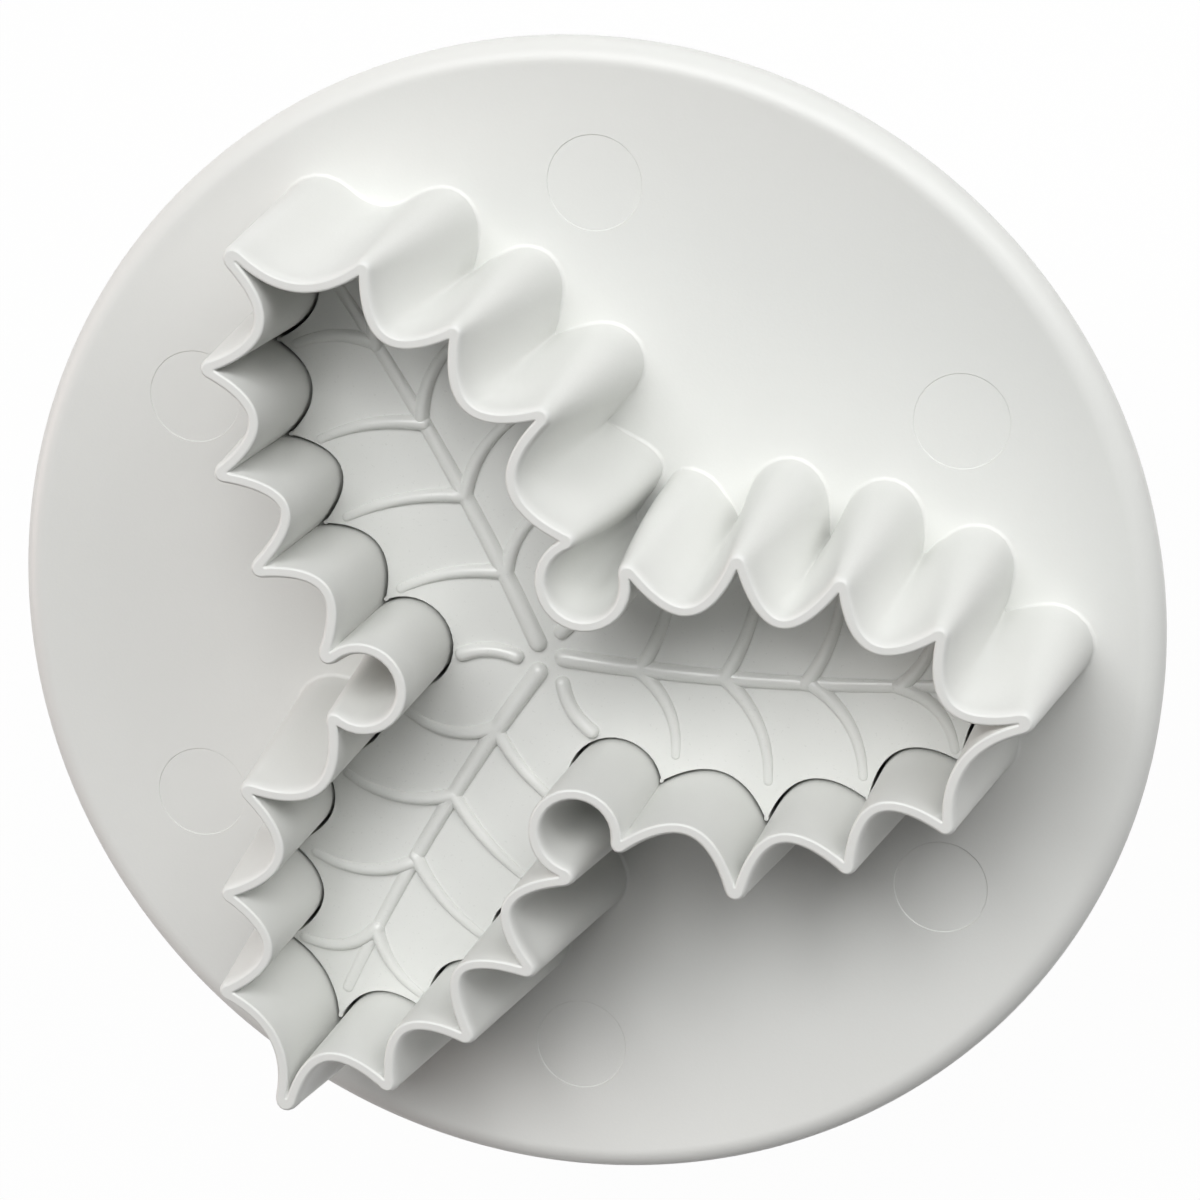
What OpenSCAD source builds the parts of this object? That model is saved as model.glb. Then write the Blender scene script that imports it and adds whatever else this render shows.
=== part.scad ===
// Spring plunger cutter for pastry: a thin leaf-shaped cutting wall on a round flange, with a veined
// embossing plate that slides inside the wall when the knob is pressed.
// The cutter stands on its knob with the cutting edge up. Z is the plunger's axis.

/* [Flange] */
// Diameter of the round flange
flange_d = 62; // [58:1:80]
// Thickness of the flange
flange_t = 2; // [1.6:0.1:3]
// Radius of the rolled shoulder of the rim
rim_round = 1.2; // [0.6:0.1:1.4]
// Height that the rim stands above the flat of the flange
rim_rise = 0.6; // [0:0.1:1]
// Width of the slope from the flat up to the rim
rise_w = 2; // [1:0.1:3]
// Chamfer round the back of the rim
rim_foot = 0.4; // [0.2:0.05:0.6]

/* [Cutting wall] */
// Height of the cutting edge above the middle of the flange
wall_h = 14; // [12.5:0.5:18]
// Thickness of the wall at the cutting edge
edge_t = 0.7; // [0.5:0.05:0.9]
// Thickness of the wall at its root on the flange
root_t = 2.1; // [1.2:0.1:2.3]
// Smallest radius left in the flutes between two spines
flute_r = 0.5; // [0.3:0.1:0.8]

/* [Leaf outline] */
// Distance of a leaf's tip from the axis
tip_r = 25.1; // [24:0.1:27]
// Distance of the left spines from the axis, tip side first
left_r = [21.55, 17.7, 13.7, 9.15]; // [9:0.05:23]
// Angle of the left spines from the midrib
left_a = [10.4, 20.2, 31.2, 45]; // [8:0.1:50]
// Distance of the right spines from the axis, tip side first
right_r = [22.05, 18.2, 14.35, 8.82]; // [8.6:0.01:23]
// Angle of the right spines from the midrib
right_a = [13.1, 23.5, 38.1, 49.9]; // [8:0.1:52]
// How far the wall bows in between two left spines, tip side first
left_bow = [1.59, 1.46, 1.95, 1.73]; // [0.8:0.01:2.2]
// How far the wall bows in between two right spines, tip side first
right_bow = [1.07, 1.7, 1.72, 1.68]; // [0.8:0.01:2.2]
// Depth of the rounded fold between two leaves
fold_depth = 3.76; // [3:0.02:4.2]

/* [Embossing plate] */
// Depth of the plate's face below the cutting edge at rest
plate_depth = 8.4; // [6:0.1:9.4]
// Distance that the plate's face passes the cutting edge when pressed
push_out = 0.6; // [0:0.1:1.5]
// Gap between the plate and the cutting wall
plate_gap = 0.24; // [0.15:0.01:0.3]
// Thickness of the plate's face
plate_t = 1.6; // [1:0.1:2.5]
// Thickness of the skirt round the plate
skirt_t = 1.2; // [0.8:0.1:1.6]
// Diameter of the boss on the back of the plate
boss_d = 10; // [9:0.1:11]

/* [Veins] */
// Height of the veins above the face
vein_h = 0.5; // [0.2:0.05:0.8]
// Width of a midrib at its thick end
midrib_w = 1; // [0.6:0.05:1.4]
// Width of a side vein at its thick end
vein_w = 0.8; // [0.4:0.05:1]
// Share of its width that a vein keeps at its thin end
vein_taper = 0.45; // [0.3:0.05:1]
// Distance kept between the veins and the edge of the plate
vein_inset = 0.2; // [0.1:0.05:0.5]
// Distance from the axis at which a midrib starts
midrib_r = 0.9; // [0.7:0.1:1.2]
// Length of a midrib
midrib_l = 21.3; // [18:0.1:22]
// How far a midrib ends to the right of the leaf's middle
midrib_drift = 0.7; // [0:0.1:1.2]
// How far a midrib bows to the right
midrib_bow = 0.5; // [0:0.1:1]
// Distance from the axis at which the left side veins leave the midrib
left_root_r = [4.9, 9.3, 13.5, 18.3]; // [4:0.1:20]
// Distance of the ends of the left side veins from the axis
left_end_r = [8.4, 12.6, 16.1, 20.5]; // [8:0.1:22]
// Angle of the ends of the left side veins from the midrib
left_end_a = [36.3, 25.6, 15.9, 7.9]; // [6:0.1:40]
// How far the left side veins bow towards the tip
left_vein_bow = 0.4; // [0:0.05:0.9]
// Distance from the axis at which the right side veins leave the midrib
right_root_r = [4.7, 9.3, 13.8, 18.2]; // [4:0.1:20]
// Distance of the ends of the right side veins from the axis
right_end_r = [8.3, 13, 17.3, 21.4]; // [8:0.1:22]
// Angle of the ends of the right side veins from the midrib
right_end_a = [37.1, 28.5, 19.3, 11]; // [8:0.1:40]
// How far the right side veins bow towards the tip
right_vein_bow = 0.7; // [0:0.05:0.9]
// Distance from the axis at which the short ridge between two leaves starts
short_r = 1.6; // [1.4:0.1:2]
// Length of the short ridge between two leaves
short_l = 2.9; // [2:0.1:3.2]
// How far the short ridge bows sideways
short_bow = 0.3; // [0:0.05:0.5]

/* [Barrel] */
// Outer diameter of the barrel
barrel_d = 18; // [17:0.5:21]
// Length of the barrel from its mouth to the middle of the flange's back
barrel_h = 18.5; // [14:0.5:24]
// Diameter of the pocket that holds the spring
pocket_d = 12.8; // [12.6:0.1:13.6]
// Length of the guide hole for the stem
guide_l = 5.4; // [4:0.2:8]
// Radius of the fillet between the barrel and the flange
root_fillet = 2.5; // [1:0.1:4]

/* [Stem] */
// Diameter of the stem
stem_d = 7; // [6:0.1:7.4]
// Radial clearance of the stem in its guide hole
stem_fit = 0.05; // [0.02:0.01:0.09]
// Diameter of the moulded hollow in the stem
core_d = 3.6; // [2:0.1:4.4]
// Length of the solid end of the stem above the hollow
core_stop = 9; // [4:0.5:14]

/* [Knob] */
// Diameter of the knob
knob_d = 24; // [21:0.5:30]
// Height of the knob
knob_h = 9; // [7:0.5:13]
// Thickness of the knob's end wall
knob_web = 3; // [2.5:0.1:4]
// Thickness of the knob's side wall
knob_wall = 1.6; // [1.2:0.1:2.2]
// Radius of the knob's outer edge
knob_round = 1.8; // [1:0.1:2.2]
// Diameter of the socket boss inside the knob
socket_d = 8.8; // [8.4:0.1:9]
// Gap left between the knob and the barrel's mouth when pressed
stop_gap = 0.5; // [0.3:0.1:2]

/* [Spring] */
// Diameter of the spring's wire
wire_d = 0.9; // [0.6:0.05:0.95]
// Outer diameter of the spring
spring_d = 11.7; // [11.5:0.1:12]
// Number of the spring's turns
turns = 12; // [8:1:13]

/* [Ejector marks] */
// Diameter of a round ejector mark
mark_d = 5; // [3:0.5:6]
// Depth of a mark
mark_depth = 0.2; // [0.1:0.05:0.4]
// Distance of the marks from the axis
mark_r = 23.7; // [23:0.1:24.5]
// Angles of the two marks between two leaves, from the first leaf's midrib
mark_a = [29.2, 85.3]; // [20:0.1:100]

/* [Hidden] */

leaves = 3;
leaf_turn = 360 / leaves;
arc_steps = 6;
fan_steps = 3;
vein_steps = 4;
round_fn = 96;
small_fn = 48;

travel = plate_depth + push_out;
mouth_z = knob_h + travel + stop_gap;
back_z = mouth_z + barrel_h;
flange_z = back_z + flange_t;
edge_z = flange_z + wall_h;
face_z = edge_z - plate_depth;
stem_top = face_z - plate_t;
rest_gap = 0.1;
overlap = 1;
skirt_z = flange_z + rest_gap;
pocket_z = flange_z - guide_l;
flange_r = flange_d / 2;
crest_r = flange_r - rim_round;
guide_r = stem_d / 2 + stem_fit;

// Points of the leaf outline, one spine after another round the object
function pol(r, a) = [r * cos(a), r * sin(a)];
function leaf_corners(a) = concat(
    [for (i = [3:-1:0]) pol(right_r[i], a - right_a[i])],
    [pol(tip_r, a)],
    [for (i = [0:3]) pol(left_r[i], a + left_a[i])]);
function leaf_bows() = concat([for (i = [3:-1:0]) right_bow[i]], left_bow, [fold_depth]);

corners = [for (k = [0:leaves - 1]) each leaf_corners(k * leaf_turn)];
bows = [for (k = [0:leaves - 1]) each leaf_bows()];
count = len(corners);

// Each stretch between two spines is an arc that bows towards the inside of the leaf
function next(i) = (i + 1) % count;
function prev(i) = (i + count - 1) % count;
function chord(i) = corners[next(i)] - corners[i];
function inward(i) = let (c = chord(i)) [-c[1], c[0]] / norm(c);
function arc_r(i) = (pow(norm(chord(i)) / 2, 2) + pow(bows[i], 2)) / (2 * bows[i]);
function arc_c(i) = (corners[i] + corners[next(i)]) / 2 + inward(i) * (bows[i] - arc_r(i));
centres = [for (i = [0:count - 1]) arc_c(i)];
radii = [for (i = [0:count - 1]) arc_r(i)];

function angle_of(v) = atan2(v[1], v[0]);
function turn(a) = a - 360 * floor(a / 360);
function cross_z(a, b) = a[0] * b[1] - a[1] * b[0];

// Corner of the outline drawn in by m: where the two grown arcs cross
function inner_corner(i, m) =
    let (c1 = centres[prev(i)], c2 = centres[i], r1 = radii[prev(i)] + m, r2 = radii[i] + m,
        d = norm(c2 - c1), u = (c2 - c1) / d, along = (r1 * r1 - r2 * r2 + d * d) / (2 * d),
        side = sign(cross_z(u, corners[i] - c1)), off = sqrt(max(0, r1 * r1 - along * along)))
    c1 + u * along + [-u[1], u[0]] * off * side;

// Outline drawn in by m on the inside of the wall
function inner_arc(i, m) =
    let (c = centres[i],
        a0 = angle_of(inner_corner(i, m) - c),
        a1 = angle_of(inner_corner(next(i), m) - c))
    [for (j = [0:arc_steps - 1]) c + pol(radii[i] + m, a0 - turn(a0 - a1) * j / arc_steps)];
function inner_line(m) = [for (i = [0:count - 1]) each inner_arc(i, m)];

// Outline of the wall's outside, t away from the inside: a flute between two spines, a round nose at each
function flute_t(i, t) = min(t, radii[i] - flute_r);
function outer_nose(i, t) =
    let (p = corners[i], b0 = angle_of(centres[prev(i)] - p), sweep = turn(angle_of(centres[i] - p) - b0),
        t0 = flute_t(prev(i), t), t1 = flute_t(i, t))
    [for (j = [0:fan_steps]) p + pol(t0 + (t1 - t0) * j / fan_steps, b0 + sweep * j / fan_steps)];
function outer_flute(i, t) =
    let (c = centres[i], a0 = angle_of(corners[i] - c), a1 = angle_of(corners[next(i)] - c))
    [for (j = [1:arc_steps - 1]) c + pol(radii[i] - flute_t(i, t), a0 - turn(a0 - a1) * j / arc_steps)];
function outer_line(t) = [for (i = [0:count - 1]) each concat(outer_nose(i, t), outer_flute(i, t))];

function lift(line, z) = [for (p = line) [p[0], p[1], z]];

// The cutting wall tapers from its root in the flange to its edge and is straight on its inside.
// At a spine every point of the round nose outside faces the one corner inside.
module leaf_wall() {
    root_z = flange_z - flange_t / 2;
    per = fan_steps + arc_steps;
    n = count * per;
    m = count * arc_steps;
    in_low = 2 * n;
    in_high = in_low + m;
    function facing(k) = (floor(k / per) * arc_steps + max(0, k % per - fan_steps)) % m;
    steps = [for (k = [0:n - 1]) [k, (k + 1) % n, facing(k), facing((k + 1) % n)]];
    wide = [for (q = steps) if (q[2] != q[3]) q];
    polyhedron(
        points = concat(lift(outer_line(root_t), root_z), lift(outer_line(edge_t), edge_z),
            lift(inner_line(0), root_z), lift(inner_line(0), edge_z)),
        faces = concat(
            [for (q = steps) [q[0], n + q[0], q[1]]],
            [for (q = steps) [q[1], n + q[0], n + q[1]]],
            [for (q = steps) [n + q[0], in_high + q[2], n + q[1]]],
            [for (q = steps) [q[0], q[1], in_low + q[2]]],
            [for (q = wide) [in_high + q[2], in_high + q[3], n + q[1]]],
            [for (q = wide) [in_low + q[2], q[1], in_low + q[3]]],
            [for (q = wide) [in_low + q[2], in_low + q[3], in_high + q[2]]],
            [for (q = wide) [in_low + q[3], in_high + q[3], in_high + q[2]]]));
}

// The flange, its rolled rim, the fillet on its back and the barrel with its pocket are turned in one piece
module turned_profile() {
    r0 = barrel_d / 2;
    flat_r = crest_r - rise_w;
    crest_z = flange_z + rim_rise;
    slope = [for (i = [0:4]) [flat_r + rise_w * i / 4, flange_z + rim_rise * (1 - cos(180 * i / 4)) / 2]];
    shoulder = [for (a = [75:-15:0]) [crest_r, crest_z - rim_round] + pol(rim_round, a)];
    back = [[flange_r, back_z + rim_foot], [flange_r - rim_foot, back_z]];
    fillet = [for (a = [90:15:180]) [r0 + root_fillet, back_z - root_fillet] + pol(root_fillet, a)];
    pocket = [[r0, mouth_z], [pocket_d / 2, mouth_z], [pocket_d / 2, pocket_z], [guide_r, pocket_z]];
    polygon(concat([[guide_r, flange_z]], slope, shoulder, back, fillet, pocket));
}

module ejector_marks() {
    for (k = [0:leaves - 1], a = mark_a)
        rotate(a + k * leaf_turn)
            translate([mark_r, 0, flange_z - mark_depth])
                cylinder(d = mark_d, h = mark_depth + overlap, $fn = small_fn);
}

module cutter_body() {
    color("whitesmoke")
    difference() {
        union() {
            rotate_extrude($fn = round_fn) turned_profile();
            leaf_wall();
        }
        ejector_marks();
    }
}

// Every vein is a tapered ridge on a bowed line that runs from its thick end to its thin end
function bowed(p, q, bow) =
    let (v = q - p, side = [-v[1], v[0]] / norm(v))
    [for (i = [0:vein_steps]) let (t = i / vein_steps) p + v * t + side * bow * 4 * t * (1 - t)];
midrib_line = bowed([midrib_r, 0], [midrib_r + midrib_l, -midrib_drift], -midrib_bow);
short_ridge = bowed([short_r, 0], [short_r + short_l, 0], -short_bow);
function midrib_at(x) =
    let (t = (x - midrib_r) / midrib_l)
    [x, -midrib_drift * t - midrib_bow * 4 * t * (1 - t)];
left_veins = [for (i = [0:3])
    bowed(midrib_at(left_root_r[i]), pol(left_end_r[i], left_end_a[i]), -left_vein_bow)];
right_veins = [for (i = [0:3])
    bowed(midrib_at(right_root_r[i]), pol(right_end_r[i], -right_end_a[i]), right_vein_bow)];

function side_at(line, i) =
    let (v = line[min(i + 1, len(line) - 1)] - line[max(i - 1, 0)])
    [-v[1], v[0]] / norm(v);
function ridge_w(line, w, i) = w * (1 - (1 - vein_taper) * i / (len(line) - 1));
function ridge_end(p, w, a) = [for (k = [0:4]) p + pol(w / 2, a + 180 * k / 4)];

// Plan of one ridge: its right edge, its round thin end, its left edge and its round thick end
module ridge(line, w) {
    n = len(line);
    first = line[1] - line[0];
    last = line[n - 1] - line[n - 2];
    right = [for (i = [1:n - 2]) line[i] - side_at(line, i) * ridge_w(line, w, i) / 2];
    left = [for (i = [n - 2:-1:1]) line[i] + side_at(line, i) * ridge_w(line, w, i) / 2];
    polygon(concat(
        right,
        ridge_end(line[n - 1], ridge_w(line, w, n - 1), angle_of(last) - 90),
        left,
        ridge_end(line[0], w, angle_of(first) + 90)));
}

// Plan of all the veins of one leaf
module leaf_veins() {
    ridge(midrib_line, midrib_w);
    for (line = concat(left_veins, right_veins)) ridge(line, vein_w);
    rotate(leaf_turn / 2) ridge(short_ridge, vein_w);
}

module veins() {
    root_z = face_z - plate_t / 4;
    translate([0, 0, root_z]) linear_extrude(face_z + vein_h - root_z)
        intersection() {
            union() for (k = [0:leaves - 1]) rotate(k * leaf_turn) leaf_veins();
            polygon(inner_line(plate_gap + vein_inset));
        }
}

// The plate is a cap with a skirt, and a boss in it takes the stem
module embossing_plate() {
    cut_z = skirt_z - overlap;
    cut_h = stem_top - cut_z;
    color("white")
    difference() {
        union() {
            translate([0, 0, skirt_z]) linear_extrude(face_z - skirt_z) polygon(inner_line(plate_gap));
            veins();
        }
        difference() {
            translate([0, 0, cut_z]) linear_extrude(cut_h) polygon(inner_line(plate_gap + skirt_t));
            cylinder(d = boss_d, h = face_z, $fn = round_fn);
        }
        translate([0, 0, cut_z]) cylinder(d = stem_d, h = cut_h, $fn = small_fn);
    }
}

module plunger_stem() {
    color("ghostwhite")
    difference() {
        translate([0, 0, knob_web]) cylinder(d = stem_d, h = stem_top - knob_web, $fn = small_fn);
        translate([0, 0, knob_web - overlap])
            cylinder(d = core_d, h = stem_top - knob_web + overlap - core_stop, $fn = small_fn);
    }
}

module knob_profile() {
    r = knob_d / 2;
    lip = 0.6;
    low = [for (a = [-90:15:0]) [r - knob_round, knob_round] + pol(knob_round, a)];
    high = [for (a = [0:30:90]) [r - lip, knob_h - lip] + pol(lip, a)];
    inside = [[r - knob_wall, knob_h], [r - knob_wall, knob_web], [socket_d / 2, knob_web],
        [socket_d / 2, knob_h], [stem_d / 2, knob_h], [stem_d / 2, knob_web], [0, knob_web]];
    polygon(concat([[0, 0]], low, high, inside));
}

module plunger_knob() {
    color("whitesmoke") rotate_extrude($fn = round_fn) knob_profile();
}

// The spring is one unbroken tube round a helix, with a closer turn at each end
spring_rings = 8;
spring_sides = 6;
end_pitch = wire_d + 0.5;
coil_r = (spring_d - wire_d) / 2;
spring_z0 = knob_web + wire_d / 2;
spring_z1 = pocket_z - wire_d / 2;
mid_pitch = (spring_z1 - spring_z0 - 2 * end_pitch) / (turns - 2);
function coil_z(t) = spring_z0 + end_pitch * min(t, 1) + mid_pitch * max(0, min(t, turns - 1) - 1)
    + end_pitch * max(0, t - (turns - 1));
spring_n = turns * spring_rings;
function coil_at(t) = let (p = pol(coil_r, 360 * t)) [p[0], p[1], coil_z(t)];
spring_path = [for (i = [0:spring_n]) coil_at(i / spring_rings)];
spring_gap = min([for (i = [0:spring_n - spring_rings])
    norm(spring_path[i + spring_rings] - spring_path[i]) - wire_d]);
echo("least gap between two turns of the spring, mm", spring_gap);

module return_spring() {
    n = len(spring_path);
    s = spring_sides;
    function rim(i, a) =
        let (out = pol(cos(a), 360 * i / spring_rings))
        spring_path[i] + wire_d / 2 * [out[0], out[1], sin(a)];
    points = [for (i = [0:n - 1], j = [0:s - 1]) rim(i, 360 * j / s)];
    quads = [for (i = [0:n - 2], j = [0:s - 1])
        let (k = i * s, m = (j + 1) % s) [k + j, k + s + j, k + s + m, k + m]];
    color("silver")
    polyhedron(points = points, faces = concat(
        [[for (j = [0:s - 1]) j]],
        [[for (j = [s - 1:-1:0]) (n - 1) * s + j]],
        [for (q = quads) [q[0], q[1], q[3]]],
        [for (q = quads) [q[3], q[1], q[2]]]));
}

cutter_body();
embossing_plate();
plunger_stem();
plunger_knob();
return_spring();
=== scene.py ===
from math import atan2, cos, degrees, pi, radians, sin, tan

import bmesh
import bpy
import numpy as np
from mathutils import Matrix, Vector
from mathutils.geometry import delaunay_2d_cdt


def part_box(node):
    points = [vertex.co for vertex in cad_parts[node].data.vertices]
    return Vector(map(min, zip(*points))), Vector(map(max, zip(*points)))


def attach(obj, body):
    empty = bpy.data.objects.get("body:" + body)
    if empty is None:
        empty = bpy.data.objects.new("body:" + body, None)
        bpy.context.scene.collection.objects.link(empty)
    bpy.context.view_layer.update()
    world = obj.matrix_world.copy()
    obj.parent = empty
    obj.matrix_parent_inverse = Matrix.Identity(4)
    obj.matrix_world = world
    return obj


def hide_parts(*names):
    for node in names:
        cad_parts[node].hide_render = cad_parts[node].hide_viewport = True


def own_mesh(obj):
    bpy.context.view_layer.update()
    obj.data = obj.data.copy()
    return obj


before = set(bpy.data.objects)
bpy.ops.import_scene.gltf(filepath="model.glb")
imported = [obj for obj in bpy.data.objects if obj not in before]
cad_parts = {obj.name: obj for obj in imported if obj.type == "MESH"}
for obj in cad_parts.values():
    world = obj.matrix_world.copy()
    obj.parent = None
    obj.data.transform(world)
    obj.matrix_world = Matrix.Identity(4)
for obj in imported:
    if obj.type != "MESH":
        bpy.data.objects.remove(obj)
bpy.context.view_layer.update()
mm = 0.001  # sizes below are in millimetres, meshes are in metres
samePoint = 1e-6  # points closer than this are one


def nodeBox(node):
    low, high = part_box(node)
    return low / mm, high / mm


bodyLow, bodyHigh = nodeBox("cutter_body")
plateLow, plateHigh = nodeBox("embossing_plate")
stemLow, stemHigh = nodeBox("plunger_stem")
knobLow, knobHigh = nodeBox("plunger_knob")
springHigh = nodeBox("return_spring")[1]
print("frame loaded, edge at", round(bodyHigh.z, 2), "mm")

# leaf outline, seen from above: a tip, four spines a side, and the arcs that bow in between them
leaf = {
    "count": 3,
    "tip": 25.1,
    # each spine's distance from the axis and angle from the midrib, tip side first
    "leftSpines": [(21.55, 10.4), (17.7, 20.2), (13.7, 31.2), (9.15, 45.0)],
    "rightSpines": [(22.05, 13.1), (18.2, 23.5), (14.35, 38.1), (8.82, 49.9)],
    "leftBows": [2.0, 1.9, 2.35, 2.05],
    "rightBows": [1.15, 2.05, 2.1, 2.05],
    "lean": 0.019,  # how much less they bow for each millimetre below the edge
    "fold": 3.76,  # depth of the rounded fold between two leaves
    "valley": 0.16,  # share of a flute's width that stays open where the wall is thickest
    "fluteSteps": 20,  # points along a flute
    "noseSteps": 10,  # and round a spine
}


def polar(distance, angle):
    return np.array((distance * cos(radians(angle)), distance * sin(radians(angle))))


def angleOf(v):
    return degrees(atan2(v[1], v[0]))


# the spines' corners in order, and how deep the outline bows in after each
def outlineStretches():
    corners, bows = [], []
    for k in range(leaf["count"]):
        midrib = 360 / leaf["count"] * k
        corners += [polar(r, midrib - a) for r, a in reversed(leaf["rightSpines"])]
        corners += [polar(leaf["tip"], midrib)]
        corners += [polar(r, midrib + a) for r, a in leaf["leftSpines"]]
        bows += leaf["rightBows"][::-1] + leaf["leftBows"] + [leaf["fold"]]
    return corners, bows


corners, bows = outlineStretches()


# on the stretch after spine i, s from -1 to 1, drawn in by inset: point, outward normal, room in its hollow
def along(i, s, inset=0, depth=0):
    a, b = corners[i % len(corners)], corners[(i + 1) % len(corners)]
    bow = bows[i % len(bows)] - leaf["lean"] * depth
    half = (b - a) / 2
    chord = np.linalg.norm(half)
    inward = np.array((-half[1], half[0])) / chord
    if bow > chord:  # the fold is more than half a circle
        radius = (chord**2 + bow**2) / (2 * bow)
        centre = (a + b) / 2 + inward * (bow - radius)
        start = angleOf(a - centre)
        out = polar(1, start - (s + 1) / 2 * ((start - angleOf(b - centre)) % 360))
        return centre + out * (radius + inset), -out, radius + inset
    point = (a + b) / 2 + half * s + inward * bow * (1 - s * s)
    run = half - 2 * s * bow * inward
    normal = np.array((run[1], -run[0])) / np.linalg.norm(run)
    return point - normal * inset, normal, chord * np.linalg.norm(run) / (2 * bow) + inset


# where the stretch before spine i ends and the one after it starts, once both are drawn in by inset
def meeting(i, inset, depth):
    def miss(s, t):
        return along(i - 1, s, inset, depth)[0] - along(i, t, inset, depth)[0]

    s, t = 1.0, -1.0
    step = 1e-5
    rounds = 20 if inset else 0
    for _ in range(rounds):
        now = miss(s, t)
        slope = np.array((miss(s + step, t) - now, miss(s, t + step) - now)).T / step
        ds, dt = np.linalg.solve(slope, now)
        s, t = s - ds, t - dt
    return s, t


# how far a point may move before it is gap short of the middle line of the flute after spine i
def roomToMiddle(i, point, out, gap):
    a, b = corners[i % len(corners)], corners[(i + 1) % len(corners)]
    across = (b - a) / np.linalg.norm(b - a)
    side = (a + b) / 2 @ across - point @ across
    closing = out @ across * np.sign(side)
    slowest = 0.05  # a point that closes in more slowly runs along the flute
    return (abs(side) - gap) / closing if closing > slowest else np.inf


# round the outline drawn in by inset: base points, outward normals, how far each may move, share of a nose
def stations(inset, depth=0, narrowest=0.3):
    base, normal, reach, nose = [], [], [], []
    n = len(corners)
    ends = [meeting(i, inset, depth) for i in range(n)]
    for i in range(n):
        here, before, _ = along(i - 1, ends[i][0], inset, depth)
        start = angleOf(before)
        sweep = (angleOf(along(i, ends[i][1], inset, depth)[1]) - start) % 360
        for k in range(leaf["noseSteps"] + 1):
            t = k / leaf["noseSteps"]
            out = polar(1, start + sweep * t)
            base.append(here)
            normal.append(out)
            reach.append(min(roomToMiddle(j, here, out, narrowest) for j in (i - 1, i)))
            nose.append(sin(pi * t) ** 2)
        first, last = ends[i][1], ends[(i + 1) % n][0]
        for k in range(1, leaf["fluteSteps"]):
            point, out, room = along(i, first + (last - first) * k / leaf["fluteSteps"], inset, depth)
            base.append(point)
            normal.append(out)
            reach.append(room * (1 - leaf["valley"]))
            nose.append(0)
    return np.array(base), np.array(normal), np.array(reach), np.array(nose)


# the rail's points moved out, easing off where a flute has no more room, and further by spike at the noses
def movedOut(rail, distance, spike=0, blur=0.25):
    base, normal, reach, nose = rail
    d = -blur * np.logaddexp(-distance / blur, -reach / blur)
    return base + normal * (d + spike * nose)[:, None]


# how far each of the points is from the nearest of the others
def distanceTo(others, points):
    return np.min(np.linalg.norm(points[:, None] - others[None], axis=2), axis=1)


# the outline drawn in by a large inset and cut straight across the spines
def drawnIn(inset):
    shares = np.linspace(-0.5, 0.5, 9)  # the middle half of each stretch
    slack = 0.05
    xy = np.array([along(i, s, inset)[0] for i in range(len(corners)) for s in shares])
    return xy[distanceTo(stations(0)[0], xy) > inset - slack]


# one piece's points and faces while it is built; loops run anticlockwise seen from above
def newSkin():
    return {"points": [], "faces": []}


# a loop of points at height z, which may be one number or one for each point; a repeated point is shared
def addLoop(skin, xy, z):
    ids = []
    for p, h in zip(xy, np.broadcast_to(z, len(xy))):
        last = skin["points"][-1] if ids else None
        if last is None or np.hypot(last[0] - p[0], last[1] - p[1]) > samePoint:
            skin["points"].append((p[0], p[1], h))
        ids.append(len(skin["points"]) - 1)
    return ids


# the ids without the repeats beside each other
def distinct(ids):
    return [a for a, b in zip(ids, ids[-1:] + ids[:-1]) if a != b]


# quads between neighbouring loops; the outside is on the right of the step from loop to loop
def bridge(skin, loops):
    for a, b in zip(loops, loops[1:]):
        for i in range(len(a)):
            j = (i + 1) % len(a)
            face = distinct([a[i], a[j], b[j], b[i]])
            if len(face) > 2:
                skin["faces"].append(tuple(face))


# true for each point that lies inside an odd number of the loops
def insideLoops(points, loops):
    inside = np.zeros(len(points), bool)
    x, y = points[:, 0], points[:, 1]
    for loop in loops:
        for (x1, y1), (x2, y2) in zip(loop, np.roll(loop, -1, axis=0)):
            if y1 == y2:
                continue
            crosses = (y1 > y) != (y2 > y)
            inside ^= crosses & (x < (x2 - x1) * (y - y1) / (y2 - y1) + x1)
    return inside


# triangles over the area between the loops, through the creases and the loose points
def fill(skin, loops, creases=(), loose=(), up=True):
    loops = [distinct(part) for part in loops]
    used = [i for part in (*loops, *creases, loose) for i in part]
    xy = np.array([skin["points"][i][:2] for i in used])
    edges, first = [], 0
    for part in (*loops, *creases):
        n = len(part)
        edges += [(first + k, first + (k + 1) % n) for k in range(n)]
        first += n
    mergeWithin = 1e-7
    spots, _, faces, origins, _, _ = delaunay_2d_cdt([Vector(p) for p in xy], edges, [], 0, mergeWithin)
    origin = [used[ids[0]] for ids in origins]
    triangles = [f for f in faces if len(f) == 3]
    middles = np.array([np.mean([spots[k] for k in f], axis=0) for f in triangles])
    outlines = [np.array([skin["points"][i][:2] for i in part]) for part in loops]
    for f, kept in zip(triangles, insideLoops(middles, outlines)):
        if kept:
            ids = [origin[k] for k in f]
            skin["faces"].append(tuple(ids if up else ids[::-1]))


def circle(radius, steps, middle=(0, 0)):
    return [polar(radius, 360 * k / steps) + middle for k in range(steps)]


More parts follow.
